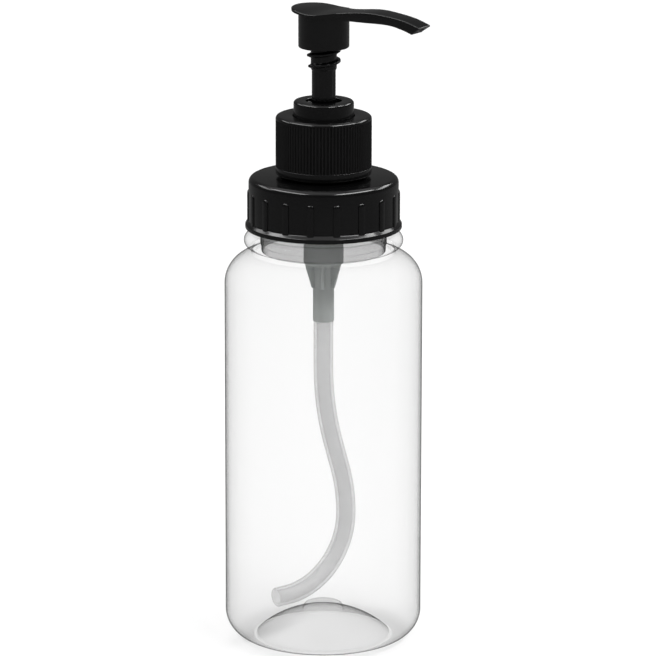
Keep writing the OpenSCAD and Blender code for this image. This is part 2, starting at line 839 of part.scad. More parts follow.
// Stations [sideways, height, heading] along the dip tube, heading 0 being straight down.
// A run is [length, 0]; a bend is [turn, radius], with a negative radius bending back.
function run_on(p, run, i, n) =
    run[1] == 0
    ? [p[0] + run[0] * i / n * sin(p[2]), p[1] - run[0] * i / n * cos(p[2]), p[2]]
    : let (h = p[2] + sign(run[1]) * run[0] * i / n)
        [p[0] + run[1] * (cos(p[2]) - cos(h)), p[1] + run[1] * (sin(p[2]) - sin(h)), h];
function steps_of(run) = run[1] == 0 ? 1 : ceil(run[0] / step_a);
function route(p, runs, k = 0) =
    k == len(runs)
    ? [p]
    : let (n = steps_of(runs[k]))
        concat([for (i = [0:n - 1]) run_on(p, runs[k], i, n)],
            route(run_on(p, runs[k], n, n), runs, k + 1));

// A round pipe swept through the stations
module swept_pipe(stations, r_out, r_in, sides) {
    last = len(stations) - 1;
    pts = [
        for (r = [r_out, r_in])
            for (p = stations)
                for (k = [0:sides - 1])
                    let (a = 360 * k / sides)
                    [p[0] + r * cos(a) * cos(p[2]), r * sin(a), p[1] + r * cos(a) * sin(p[2])]
    ];
    inner = sides * (last + 1);
    skin = [
        for (i = [0:last - 1])
            for (k = [0:sides - 1])
                let (a = sides * i + k, b = sides * i + (k + 1) % sides)
                each [
                    [a, a + sides, b], [b, a + sides, b + sides],
                    [inner + a, inner + b, inner + a + sides],
                    [inner + b, inner + b + sides, inner + a + sides]
                ]
    ];
    rims = [
        for (k = [0:sides - 1])
            let (a = k, b = (k + 1) % sides, c = sides * last + a, d = sides * last + b)
            each [
                [a, b, inner + a], [b, inner + b, inner + a],
                [c, inner + c, d], [d, inner + c, inner + d]
            ]
    ];
    polyhedron(points = pts, faces = concat(skin, rims), convexity = 8);
}

module dip_tube() {
    middle_run = 10;
    end_run = 4.3;
    sides = 24;
    runs = [
        [tube_top_z - body_h + straight_end, 0],
        [bend_1_a, bend_1_r],
        [middle_run, 0],
        [bend_1_a, -bend_2_r],
        [bend_3_a, -bend_3_r],
        [end_run, 0]
    ];
    color([0.88, 0.9, 0.9, 0.8])
        rotate([0, 0, tube_turn])
            swept_pipe(route([0, tube_top_z, 0], runs), tube_d / 2, tube_d / 2 - tube_wall, sides);
}

bottle();
lid();
lid_insert();
closure();
lock_collar();
pump_head();
stem();
piston_rod();
piston();
return_spring();
ball_cage();
check_ball();
pump_housing();
neck_gasket();
dip_tube();
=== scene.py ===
# %% [markdown]
# # A pump bottle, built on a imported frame
# This lesson dresses a lotion-type dispenser: a clear bottle, a wide screw lid, a ribbed
# closure, a press pump and a bent dip tube. The CAD frame already holds each part in its
# place, so every piece here takes its height and radius from the frame's boxes and adds what
# the frame leaves out, such as rounded edges, fine ribs and real finishes.

# %% Load the frame
import math

import bmesh
import bpy
from mathutils import Matrix, Vector


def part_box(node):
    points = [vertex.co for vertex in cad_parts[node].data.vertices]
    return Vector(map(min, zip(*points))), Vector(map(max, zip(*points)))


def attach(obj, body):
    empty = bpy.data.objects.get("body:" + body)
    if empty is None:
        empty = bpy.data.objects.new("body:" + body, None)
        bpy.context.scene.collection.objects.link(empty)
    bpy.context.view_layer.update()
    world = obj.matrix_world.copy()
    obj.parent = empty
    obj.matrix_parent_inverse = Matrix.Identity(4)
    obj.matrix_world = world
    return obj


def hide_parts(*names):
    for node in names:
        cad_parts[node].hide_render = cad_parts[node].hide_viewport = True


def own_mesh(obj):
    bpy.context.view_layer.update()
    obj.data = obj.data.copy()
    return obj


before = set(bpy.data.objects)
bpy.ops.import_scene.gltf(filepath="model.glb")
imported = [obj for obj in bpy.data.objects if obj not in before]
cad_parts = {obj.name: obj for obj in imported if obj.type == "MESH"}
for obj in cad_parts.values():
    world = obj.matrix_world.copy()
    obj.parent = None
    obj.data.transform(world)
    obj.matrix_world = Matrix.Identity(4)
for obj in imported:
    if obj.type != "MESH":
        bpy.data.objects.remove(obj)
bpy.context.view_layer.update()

# %% [markdown]
# ## Working in millimetres
# Blender's unit here is the metre, but bottle makers draw in millimetres. The outlines below
# are therefore in millimetres, and MM turns them into metres when a mesh is made.

# %% Boxes of the frame in millimetres
MM = 0.001


def top_of(node):
    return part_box(node)[1].z / MM


def foot_of(node):
    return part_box(node)[0].z / MM


def radius_of(node):
    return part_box(node)[1].y / MM


edge_gap = 0.02  # keeps the bottle's own facets inside the frame's box
body_r = radius_of("bottle") - edge_gap
mouth_z = top_of("bottle")
print("the bottle is", round(2 * body_r, 1), "mm wide and", round(mouth_z, 1), "mm high")

# %% Helpers for meshes and objects
scene = bpy.context.scene


def add_object(name, data):
    """A new object in the scene."""
    thing = bpy.data.objects.new(name, data)
    scene.collection.objects.link(thing)
    return thing


def mesh_of(name, shape):
    """A mesh made from a bmesh, which is freed."""
    mesh = bpy.data.meshes.new(name)
    shape.to_mesh(mesh)
    shape.free()
    return mesh


def with_modifiers(thing):
    """A bmesh of an object with its modifiers applied. The object is removed."""
    view = bpy.context.evaluated_depsgraph_get()
    mesh = bpy.data.meshes.new_from_object(thing.evaluated_get(view))
    bpy.data.objects.remove(thing)
    shape = bmesh.new()
    shape.from_mesh(mesh)
    bpy.data.meshes.remove(mesh)
    return shape


def skin(shape, rows, loop=False):
    """Faces between rings of vertices, which close into a loop or end in two caps."""
    for near, far in zip(rows, rows[1:] + (rows[:1] if loop else [])):
        for i in range(len(near)):
            j = (i + 1) % len(near)
            shape.faces.new((near[i], far[i], far[j], near[j]))
    if not loop:
        shape.faces.new(rows[0])
        shape.faces.new(rows[-1])
    bmesh.ops.recalc_face_normals(shape, faces=shape.faces)
    return shape


def weld(shape):
    """Merges vertices in one place, such as those on the axis, and turns the faces outwards."""
    bmesh.ops.remove_doubles(shape, verts=shape.verts, dist=1e-7)
    bmesh.ops.recalc_face_normals(shape, faces=shape.faces)
    return shape


# %% [markdown]
# ## Camera
# A long lens from a metre and a half away gives the calm, almost parallel look of a catalogue
# picture. It looks down a little, and the spout points to the right and slightly forwards.
# The aim point is a touch beside the bottle's axis, because the spout needs the room.

# %% Place the camera
view_turn = math.radians(34)
view_pitch = math.radians(14.2)
view_distance = 1.53
aside = Vector((math.cos(view_turn), math.sin(view_turn), 0))
towards_camera = Vector((
    math.sin(view_turn) * math.cos(view_pitch),
    -math.cos(view_turn) * math.cos(view_pitch),
    math.sin(view_pitch),
))
middle_height = 0.105
room_for_spout = 1.5 * MM
view_roll = math.radians(0.09)
aim = Vector((0, 0, middle_height)) + aside * room_for_spout
camera_data = bpy.data.cameras.new("catalogue_camera")
camera_data.lens = 255.2
camera_data.sensor_width = 36
camera_data.clip_end = 50
camera = add_object("catalogue_camera", camera_data)
camera.matrix_world = (
    Matrix.Translation(aim + towards_camera * view_distance)
    @ (-towards_camera).to_track_quat("-Z", "Y").to_matrix().to_4x4()
    @ Matrix.Rotation(view_roll, 4, "Z")
)
scene.camera = camera
print("camera at", [round(v, 3) for v in camera.matrix_world.translation])

# %% [markdown]
# ## Floor and light
# Glossy black shows its lamps and nothing else, so the lamps draw the shape: two long
# softboxes, high on either side, leave white arcs along every rounded edge, with a dark gap
# between them. They are equally large, and the right one is brighter. Two weaker rim lights
# stand further round and edge the black parts from behind. All four are far off, so that the
# floor is evenly lit.
#
# The sky is dark near the horizon, which keeps flat tops black, and bright overhead. The camera
# itself sees an even, pale backdrop instead. The floor is one wide off-white disc with a faint
# mottle, so that it also shows through the bottle. In reflections it is dark, as if black cards
# stood round the set, or gloss black would look grey.


# %% Helpers for node trees
def add_node(tree, kind, **settings):
    """A node of that kind. Settings are attributes, or inputs by name with _ for a space."""
    node = tree.nodes.new(kind)
    for key, value in settings.items():
        if hasattr(node, key):
            setattr(node, key, value)
        else:
            node.inputs[key.replace("_", " ")].default_value = value
    return node


def wire(tree, *wires):
    """Links sockets. Each wire is (from node, output, to node, input)."""
    for source, output, target, socket in wires:
        tree.links.new(source.outputs[output], target.inputs[socket])


def grey(level):
    return (level, level, level, 1)


def ramp(tree, marks):
    """A colour ramp. Each mark is (place, colour)."""
    node = add_node(tree, "ShaderNodeValToRGB")
    elements = node.color_ramp.elements
    while len(elements) < len(marks):
        elements.new(0.5)
    for element, (place, colour) in zip(elements, marks):
        element.position = place
        element.color = colour
    return node


def clean_material(name):
    """An empty material, called the given name with _finish added."""
    material = bpy.data.materials.new(name + "_finish")
    material.use_nodes = True
    material.node_tree.nodes.clear()
    return material, material.node_tree


# %% Floor and sky
def pale_floor_finish():
    material, tree = clean_material("pale_floor")
    place = add_node(tree, "ShaderNodeTexCoord")
    mottle = add_node(tree, "ShaderNodeTexNoise", Scale=3.0, Detail=3.0)
    tone = ramp(tree, [(0, grey(0.80)), (1, grey(0.84))])
    shader = add_node(tree, "ShaderNodeBsdfPrincipled", Roughness=0.7)
    ray = add_node(tree, "ShaderNodeLightPath")
    shade = add_node(tree, "ShaderNodeBsdfDiffuse", Color=grey(0.12))
    mix = add_node(tree, "ShaderNodeMixShader")
    out = add_node(tree, "ShaderNodeOutputMaterial")
    wire(
        tree, (place, "Object", mottle, "Vector"), (mottle, "Fac", tone, "Fac"),
        (tone, "Color", shader, "Base Color"), (ray, "Is Glossy Ray", mix, "Fac"),
        (shader, "BSDF", mix, 1), (shade, "BSDF", mix, 2), (mix, "Shader", out, "Surface"),
    )
    return material


floor_shape = bmesh.new()
floor_r = 8
bmesh.ops.create_circle(floor_shape, cap_ends=True, radius=floor_r, segments=96)
floor = add_object("floor", mesh_of("floor", floor_shape))
floor.data.materials.append(pale_floor_finish())

sky = bpy.data.worlds.new("studio_sky")
sky.use_nodes = True
air = sky.node_tree
direction = add_node(air, "ShaderNodeTexCoord")
split = add_node(air, "ShaderNodeSeparateXYZ")
ceiling = ramp(air, [(0.55, grey(0.1)), (0.80, grey(0.8))])
ray = add_node(air, "ShaderNodeLightPath")
backdrop = add_node(air, "ShaderNodeMixRGB", Color2=grey(0.96))
wire(
    air, (direction, "Generated", split, "Vector"), (split, "Z", ceiling, "Fac"),
    (ray, "Is Camera Ray", backdrop, "Fac"), (ceiling, "Color", backdrop, "Color1"),
    (backdrop, "Color", air.nodes["Background"], "Color"),
)
scene.world = sky
scene.view_settings.view_transform = "Standard"
print("floor radius", floor_r, "m, under a dark horizon and a bright ceiling")


# %% Softboxes
lamp_distance = 5.0
lamp_aim = Vector((0, 0, 0.17))


def softbox(name, turn, height_angle, width, height, power):
    """A softbox aimed at the pump. turn is in degrees to the right of the camera."""
    side = view_turn + math.radians(turn)
    up = math.radians(height_angle)
    level = math.cos(up)
    place = Vector((math.sin(side) * level, -math.cos(side) * level, math.sin(up)))
    lamp = bpy.data.lights.new(name, "AREA")
    lamp.shape = "RECTANGLE"
    lamp.size = width
    lamp.size_y = height
    lamp.energy = power
    add_object(name, lamp).matrix_world = (
        Matrix.Translation(lamp_aim + place * lamp_distance)
        @ (-place).to_track_quat("-Z", "Y").to_matrix().to_4x4()
    )


softbox("softbox_right", 64, 50, 5.4, 0.9, 205)
softbox("softbox_left", -72, 50, 5.4, 0.9, 118)
softbox("rim_light_right", 124, 32, 3.4, 1.0, 60)
softbox("rim_light_left", -118, 32, 3.0, 0.9, 26)
print("two softboxes and two rim lights")

# %% [markdown]
# ## Finishes
# Every finish has a small variation in its gloss and a fine relief, since a perfectly even
# surface reads as a computer's. Object coordinates keep each pattern fixed to its piece.


# %% A helper that every moulded plastic shares
def moulded(name, roughness, relief, grain):
    """A material whose gloss varies between two values, over a fine relief. grain is the number
    of bumps per metre. Returns the material, its tree and its shader."""
    material, tree = clean_material(name)
    place = add_node(tree, "ShaderNodeTexCoord")
    cloud = add_node(tree, "ShaderNodeTexNoise", Scale=grain / 8, Detail=4.0)
    gloss = add_node(
        tree, "ShaderNodeMapRange", To_Min=roughness[0], To_Max=roughness[1]
    )
    peel = add_node(tree, "ShaderNodeTexNoise", Scale=grain, Detail=2.0)
    bump = add_node(tree, "ShaderNodeBump", Strength=relief, Distance=0.0002)
    shader = add_node(tree, "ShaderNodeBsdfPrincipled")
    out = add_node(tree, "ShaderNodeOutputMaterial")
    wire(
        tree, (place, "Object", cloud, "Vector"), (place, "Object", peel, "Vector"),
        (cloud, "Fac", gloss, "Value"), (gloss, "Result", shader, "Roughness"),
        (peel, "Fac", bump, "Height"), (bump, "Normal", shader, "Normal"),
        (shader, "BSDF", out, "Surface"),
    )
    return material, tree, shader


def speckled(tree, shader, dark, light, size):
    """Varies the shader's colour slightly between two tones, in clouds of that size in metres."""
    place = add_node(tree, "ShaderNodeTexCoord")
    cloud = add_node(tree, "ShaderNodeTexNoise", Scale=1 / size, Detail=5.0)
    tone = ramp(tree, [(0.3, (*dark, 1)), (0.7, (*light, 1))])
    wire(
        tree, (place, "Object", cloud, "Vector"), (cloud, "Fac", tone, "Fac"),
        (tone, "Color", shader, "Base Color"),
    )


# %% [markdown]
# ### Black gloss
# The lid, closure, collar, stem and head are injection-moulded in black. The mould is
# polished, so the gloss is high, with a very faint orange peel.


# %% Black gloss
def black_gloss_finish():
    material, tree, shader = moulded("black_gloss", (0.10, 0.20), 0.06, 900)
    speckled(tree, shader, (0.0012, 0.0012, 0.0013), (0.0024, 0.0024, 0.0025), 0.012)
    shader.inputs["IOR"].default_value = 1.5
    return material


black_gloss = black_gloss_finish()
print("made", black_gloss.name)

# %% [markdown]
# ### Clear and milky plastics
# A thin clear wall hardly bends the light. What shows is a grey outline, where the wall is seen
# edge on, and a faint shine. A glass shader would bend all that is behind it and grow dark and
# noisy, so these finishes mix tinted air with a plastic instead. Layer Weight darkens the air
# towards the outline, and the milky ones hold more of the plastic.
#
# A wall has two faces, and would show two outlines, so the face towards the axis keeps an even
# tint. It is found from its normal, which points at the axis. The dip tube shows both faces of
# its wall, as a light rim on each side of the bore.


# %% A helper that makes a plastic see-through
def outer_face(tree):
    """Gives 1 on faces that look away from the object's upright axis and 0 on the others."""
    place = add_node(tree, "ShaderNodeTexCoord")
    side = add_node(tree, "ShaderNodeNewGeometry")
    flat = add_node(tree, "ShaderNodeVectorMath", operation="MULTIPLY")
    flat.inputs[1].default_value = (1, 1, 0)
    away = add_node(tree, "ShaderNodeVectorMath", operation="DOT_PRODUCT")
    sign = add_node(tree, "ShaderNodeMath", operation="MULTIPLY_ADD")
    sign.inputs[1].default_value = -2
    sign.inputs[2].default_value = 1
    both = add_node(tree, "ShaderNodeMath", operation="MULTIPLY")
    test = add_node(tree, "ShaderNodeMath", operation="GREATER_THAN")
    test.inputs[1].default_value = 0
    wire(
        tree, (place, "Object", flat, 0), (flat, "Vector", away, 0),
        (place, "Normal", away, 1), (side, "Backfacing", sign, 0), (away, "Value", both, 0),
        (sign, "Value", both, 1), (both, "Value", test, 0),
    )
    return test.outputs["Value"]


def see_through(tree, shader, tints, solid, solid_edge, both_faces=False):
    """Mixes the shader with tinted air. tints pairs how far a face turns away with the air's
    tint there. solid and solid_edge are the plastic's share face on and edge on. With
    both_faces, the inner face of a wall darkens towards the outline too."""
    turn = add_node(tree, "ShaderNodeLayerWeight", Blend=0.5)
    outline = add_node(tree, "ShaderNodeMath", operation="MULTIPLY")
    tone = ramp(tree, [(at, grey(tint)) for at, tint in tints])
    share = add_node(
        tree, "ShaderNodeMapRange", From_Min=0.7, To_Min=solid, To_Max=solid_edge
    )
    air = add_node(tree, "ShaderNodeBsdfTransparent")
    mix = add_node(tree, "ShaderNodeMixShader")
    out = next(n for n in tree.nodes if n.bl_idname == "ShaderNodeOutputMaterial")
    wire(tree, (turn, "Facing", outline, 0))
    if both_faces:
        outline.inputs[1].default_value = 1
    else:
        tree.links.new(outer_face(tree), outline.inputs[1])
    wire(
        tree, (outline, "Value", tone, "Fac"), (outline, "Value", share, "Value"),
        (tone, "Color", air, "Color"), (share, "Result", mix, "Fac"), (air, "BSDF", mix, 1),
        (shader, "BSDF", mix, 2), (mix, "Shader", out, "Surface"),
    )


# %% Clear bottle, milky insert, natural housing and dip tube
def clear_bottle_finish():
    material, tree, shader = moulded("clear_bottle", (0.03, 0.08), 0.02, 60)
    speckled(tree, shader, (0.30, 0.30, 0.30), (0.34, 0.34, 0.34), 0.02)
    tints = [(0, 0.968), (0.33, 0.957), (0.5, 0.93), (0.63, 0.885), (0.72, 0.83), (0.8, 0.7),
             (0.9, 0.4), (1, 0.2)]
    see_through(tree, shader, tints, 0.01, 0.2)
    return material


def milky_insert_finish():
    material, tree, shader = moulded("milky_insert", (0.28, 0.40), 0.05, 500)
    speckled(tree, shader, (0.24, 0.24, 0.24), (0.28, 0.28, 0.28), 0.008)
    tints = [(0, 0.84), (0.55, 0.8), (0.68, 0.6), (0.8, 0.2), (1, 0.05)]
    see_through(tree, shader, tints, 0.14, 0.2)
    return material


def natural_plastic_finish():
    material, tree, shader = moulded("natural_plastic", (0.30, 0.42), 0.05, 700)
    speckled(tree, shader, (0.40, 0.42, 0.41), (0.45, 0.47, 0.46), 0.009)
    see_through(tree, shader, [(0, 0.8), (0.7, 0.6), (1, 0.45)], 0.86, 0.98)
    return material


def tube_plastic_finish():
    material, tree, shader = moulded("tube_plastic", (0.16, 0.26), 0.04, 400)
    speckled(tree, shader, (0.74, 0.74, 0.74), (0.80, 0.80, 0.80), 0.006)
    tints = [(0, 0.91), (0.6, 0.89), (0.8, 0.7), (1, 0.4)]
    see_through(tree, shader, tints, 0.2, 0.55, both_faces=True)
    return material


scene.cycles.transparent_max_bounces = 32
clear_bottle = clear_bottle_finish()
milky_insert = milky_insert_finish()
natural_plastic = natural_plastic_finish()
tube_plastic = tube_plastic_finish()
print("made", clear_bottle.name, milky_insert.name, natural_plastic.name, tube_plastic.name)

# %% [markdown]
# ### Metals and foam
# The spring is drawn stainless wire, with fine streaks along it. The check ball is polished
# steel. The gasket is pressed closed-cell foam, dull and pitted.


# %% Spring steel, ball steel and foam
def steel_finish(name, tone, roughness, grain):
    material, tree, shader = moulded(name, roughness, 0.1, grain)
    speckled(tree, shader, tone, tuple(min(1, v * 1.15) for v in tone), 0.002)
    shader.inputs["Metallic"].default_value = 1.0
    return material


def gasket_foam_finish():
    material, tree, shader = moulded("gasket_foam", (0.75, 0.9), 0.5, 2500)
    speckled(tree, shader, (0.58, 0.58, 0.56), (0.68, 0.68, 0.66), 0.001)
    return material


spring_steel = steel_finish("spring_steel", (0.55, 0.55, 0.56), (0.22, 0.38), 3000)
ball_steel = steel_finish("ball_steel", (0.72, 0.72, 0.74), (0.05, 0.12), 1500)
gasket_foam = gasket_foam_finish()
print("made", spring_steel.name, ball_steel.name, gasket_foam.name)

# %% [markdown]
# ## Turned shapes
# Almost every part here was made in a round mould, so one helper turns a half outline round
# Z. A lathe (Screw) modifier would do it too, but a few lines of bmesh give a closed solid at
# once. The outline is a list of corners, and each corner can have its own rounding, because
# the rounding is what catches the light.


# %% Outline helpers
def arc(centre_r, centre_z, radius, start, end, steps=8):
    """Points round a circle in the half plane, in degrees: 0 points outwards and 90 up."""
    angles = [math.radians(start + (end - start) * i / steps) for i in range(steps + 1)]
    return [(centre_r + radius * math.cos(a), centre_z + radius * math.sin(a)) for a in angles]


def rounded(corners, steps=5):
    """A closed outline whose corners are (radius, height) or (radius, height, rounding)."""
    points = []
    for i, corner in enumerate(corners):
        here = Vector(corner[:2])
        if len(corner) == 2:
            points.append(tuple(here))
            continue
        before = Vector(corners[i - 1][:2]) - here
        after = Vector(corners[(i + 1) % len(corners)][:2]) - here
        half = before.angle(after) / 2
        bisector = (before.normalized() + after.normalized()).normalized()
        centre = here + bisector * corner[2] / math.sin(half)
        start = here + before.normalized() * corner[2] / math.tan(half) - centre
        end = here + after.normalized() * corner[2] / math.tan(half) - centre
        swing = math.atan2(start.x * end.y - start.y * end.x, start.dot(end))
        for step in range(steps + 1):
            spoke = Matrix.Rotation(swing * step / steps, 2) @ start
            points.append(tuple(centre + spoke))
    return points


def turned(outline, steps=144, bulge=None):
    """A closed outline turned round Z. bulge(angle, radius, height) may give a new radius."""
    shape = bmesh.new()
    rings = []
    for step in range(steps):
        angle = 2 * math.pi * step / steps
        ring = []
        for radius, height in outline:
            r = bulge(angle, radius, height) if bulge else radius
            place = Vector((r * math.cos(angle), r * math.sin(angle), height))
            ring.append(shape.verts.new(place * MM))
        rings.append(ring)
    return weld(skin(shape, rings, loop=True))


# %% [markdown]
# ## Putting a piece on the frame
# A finished piece is one mesh with smooth faces and sharp creases where its faces turn by
# more than a set angle. It rides on a CAD body, stands for that body's plain CAD node, which
# it hides, and takes one finish.


# %% Helper that finishes a piece
def finished_piece(name, shapes, finish, body, nodes, crease=32):
    """Joins shapes, which are bmeshes, into one piece, hangs it on the body and hides the CAD
    nodes it stands for.
    """
    whole = bmesh.new()
    for shape in shapes:
        mesh = mesh_of(name + "_part", shape)
        whole.from_mesh(mesh)
        bpy.data.meshes.remove(mesh)
    for face in whole.faces:
        face.smooth = True
    sharpest = math.radians(crease)
    for edge in whole.edges:
        edge.smooth = len(edge.link_faces) == 2 and edge.calc_face_angle(0) < sharpest
    mesh = mesh_of(name, whole)
    mesh.materials.append(finish)
    piece = add_object(name, mesh)
    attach(piece, body)
    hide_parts(*nodes)
    print(name, "has", len(mesh.polygons), "faces and replaces", ", ".join(nodes))
    return piece


# %% [markdown]
# ## Two Geometry Nodes trees
# Threads, ribs and fins repeat by rule, so trees make them. One tree sweeps a ridge section
# along a helix, and it thins out at both ends as a moulded thread does. The other copies one
# small mesh round the axis. Both are built here, node by node, with named inputs. Each result
# is turned into plain faces and joined to its part.


# %% Helpers for the trees
def new_tree(name, sockets):
    """A geometry tree with one output and the named inputs, given as (name, kind, value)."""
    tree = bpy.data.node_groups.new(name, "GeometryNodeTree")
    tree.interface.new_socket("Geometry", in_out="OUTPUT", socket_type="NodeSocketGeometry")
    for label, kind, value in sockets:
        socket = tree.interface.new_socket(label, in_out="INPUT", socket_type="NodeSocket" + kind)
        if value is not None:
            socket.default_value = value
    return tree, add_node(tree, "NodeGroupInput"), add_node(tree, "NodeGroupOutput")


def calculate(tree, operation, first, second=0.0):
    """A math node on two sockets or numbers. Returns its output."""
    node = add_node(tree, "ShaderNodeMath", operation=operation)
    for i, value in enumerate((first, second)):
        if isinstance(value, (int, float)):
            node.inputs[i].default_value = value
        else:
            tree.links.new(value, node.inputs[i])
    return node.outputs[0]


def close_tree(tree, geometry, given, output):
    """Ends a tree in Realize Instances and Set Material."""
    real = add_node(tree, "GeometryNodeRealizeInstances")
    paint = add_node(tree, "GeometryNodeSetMaterial")
    tree.links.new(geometry, real.inputs["Geometry"])
    wire(
        tree, (real, "Geometry", paint, "Geometry"), (given, "Finish", paint, "Material"),
        (paint, "Geometry", output, "Geometry"),
    )


def grown(tree, values, seed=None):
    """Runs a tree with named values, on the bmesh seed if it has one. Returns a bmesh."""
    maker = add_object(tree.name, mesh_of(tree.name, seed or bmesh.new()))
    modifier = maker.modifiers.new(tree.name, "NODES")
    modifier.node_group = tree
    for socket in tree.interface.items_tree:
        if socket.in_out == "INPUT" and socket.name in values:
            modifier[socket.identifier] = values[socket.name]
    return weld(with_modifiers(maker))


# %% Tree that sweeps a ridge along a helix
def helix_tree():
    tree, given, output = new_tree("helical_ridge", [
        ("Wall radius", "Float", 0.02), ("Ridge height", "Float", 0.001),
        ("Root width", "Float", 0.0015), ("Crest width", "Float", 0.0007),
        ("Rounding", "Float", 0.0002), ("Sink", "Float", 0.0003),
        ("Lead", "Float", 0.004), ("Turns", "Float", 1.5), ("Start height", "Float", 0.0),
        ("Start angle", "Float", 0.0), ("Ease turns", "Float", 0.1), ("Finish", "Material", None),
    ])
    link = tree.links.new
    size = given.outputs
    path = add_node(tree, "GeometryNodeCurveSpiral", Resolution=72, Reverse=True)
    wire(
        tree, (given, "Turns", path, "Rotations"),
        (given, "Wall radius", path, "Start Radius"),
        (given, "Wall radius", path, "End Radius"),
    )
    link(calculate(tree, "MULTIPLY", size["Lead"], size["Turns"]), path.inputs["Height"])
    upright = add_node(tree, "GeometryNodeSetCurveNormal")
    upright.mode = "Z_UP"
    wire(tree, (path, "Curve", upright, "Curve"))
    section = add_node(tree, "GeometryNodeCurvePrimitiveQuadrilateral")
    section.mode = "POINTS"
    inwards = calculate(tree, "MULTIPLY", size["Sink"], -1.0)
    corners = [(inwards, "Root width", 0.5), (size["Ridge height"], "Crest width", 0.5),
               (size["Ridge height"], "Crest width", -0.5), (inwards, "Root width", -0.5)]
    for i, (depth, width, share) in enumerate(corners):
        point = add_node(tree, "ShaderNodeCombineXYZ")
        link(depth, point.inputs["X"])
        link(calculate(tree, "MULTIPLY", size[width], share), point.inputs["Y"])
        link(point.outputs[0], section.inputs["Point %d" % (i + 1)])
    soft = add_node(tree, "GeometryNodeFilletCurve", mode="POLY", Count=3)
    wire(tree, (section, "Curve", soft, "Curve"), (given, "Rounding", soft, "Radius"))
    along = add_node(tree, "GeometryNodeSplineParameter")
    left = calculate(tree, "SUBTRACT", 1.0, along.outputs["Factor"])
    nearest = calculate(tree, "MINIMUM", along.outputs["Factor"], left)
    from_end = calculate(tree, "MULTIPLY", nearest, size["Turns"])
    growing = calculate(tree, "DIVIDE", from_end, size["Ease turns"])
    thinnest = 0.08
    scale = calculate(tree, "MAXIMUM", calculate(tree, "MINIMUM", growing, 1.0), thinnest)
    swept = add_node(tree, "GeometryNodeCurveToMesh", Fill_Caps=True)
    wire(tree, (upright, "Curve", swept, "Curve"), (soft, "Curve", swept, "Profile Curve"))
    link(scale, swept.inputs["Scale"])
    turn = add_node(tree, "ShaderNodeCombineXYZ")
    rise = add_node(tree, "ShaderNodeCombineXYZ")
    wire(tree, (given, "Start angle", turn, "Z"), (given, "Start height", rise, "Z"))
    placed = add_node(tree, "GeometryNodeTransform")
    wire(
        tree, (swept, "Mesh", placed, "Geometry"), (turn, 0, placed, "Rotation"),
        (rise, 0, placed, "Translation"),
    )
    close_tree(tree, placed.outputs["Geometry"], given, output)
    return tree


helical_ridge = helix_tree()


def thread(wall_r, height, width, lead, turns, start_z, finish, start_angle=0.0, crest=0.45):
    """A right-handed thread ridge in millimetres. A negative height points inwards."""
    facing = 1 if height > 0 else -1
    return grown(helical_ridge, {
        "Wall radius": wall_r * MM, "Ridge height": height * MM, "Root width": width * MM,
        "Crest width": width * crest * MM, "Rounding": 0.12 * MM, "Sink": 0.25 * facing * MM,
        "Lead": lead * MM, "Turns": float(turns), "Start height": start_z * MM,
        "Start angle": math.radians(start_angle), "Ease turns": 0.1, "Finish": finish,
    })


print("tree", helical_ridge.name, "has", len(helical_ridge.nodes), "nodes")


# %% Tree that copies a mesh round the axis
def ring_tree():
    tree, given, output = new_tree("copies_round_axis", [
        ("Geometry", "Geometry", None), ("Count", "Int", 12),
        ("First angle", "Float", 0.0), ("Finish", "Material", None),
    ])
    link = tree.links.new
    spots = add_node(tree, "GeometryNodePoints")
    wire(tree, (given, "Count", spots, "Count"))
    number = add_node(tree, "GeometryNodeInputIndex")
    share = calculate(tree, "DIVIDE", number.outputs[0], given.outputs["Count"])
    angle = calculate(tree, "MULTIPLY", share, 2 * math.pi)
    turn = add_node(tree, "ShaderNodeCombineXYZ")
    link(calculate(tree, "ADD", angle, given.outputs["First angle"]), turn.inputs["Z"])
    copies = add_node(tree, "GeometryNodeInstanceOnPoints")
    wire(
        tree, (spots, 0, copies, "Points"), (given, "Geometry", copies, "Instance"),
        (turn, 0, copies, "Rotation"),
    )
    close_tree(tree, copies.outputs["Instances"], given, output)
    return tree


copies_round_axis = ring_tree()


def ring_of(seed, count, finish, first_angle=0.0):
    """Copies of the bmesh seed, evenly round Z. The first angle is in degrees."""
    return grown(copies_round_axis, {
        "Count": count, "First angle": math.radians(first_angle), "Finish": finish,
    }, seed)


print("tree", copies_round_axis.name, "has", len(copies_round_axis.nodes), "nodes")

# %% [markdown]
# ## Bottle
# The bottle was blown, so its wall is thin and even and it has no sharp edge: a pushed-up
# base with a button in the middle, a broad round heel, a straight wall, a round shoulder, and
# a neck with a fat bead. Outside and inside are one closed outline. A single surface with
# Solidify would be quicker, but the base and the neck vary in thickness.

# %% Bottle sizes
wall = 0.8
heel = 9.2
foot_r = body_r - heel
dome_r = foot_r - 1.8
dome_h = 8.2
button_r = 5.7
button_h = 1.5
dome_sphere_r = (dome_r ** 2 + dome_h ** 2) / (2 * dome_h)
shoulder_z = 120.5
shoulder_r = 10.5
shoulder_x = body_r - shoulder_r
mouth_r = 20.75
neck_wall = 1.25
neck_r = mouth_r + neck_wall
band_r = neck_r + 1.4
band_bore_r = band_r - neck_wall
bead_r = 2.4
bead_z = shoulder_z + 14.5
bead_x = neck_r + 4.1 - bead_r
screw_lead = 4.23
screw_turns = 1.5
ridge_high = 0.8
ridge_wide = 1.5
print("neck", round(2 * neck_r, 1), "mm across, bead at", bead_z)


# %% Bottle outline
def dome_line(skin, start, end, steps=10):
    """Points over the pushed-up base between two radii, on a sphere grown by skin."""
    radii = [start + (end - start) * i / steps for i in range(steps + 1)]
    sphere = dome_sphere_r + skin
    return [(r, dome_h - dome_sphere_r + math.sqrt(sphere ** 2 - r ** 2)) for r in radii]


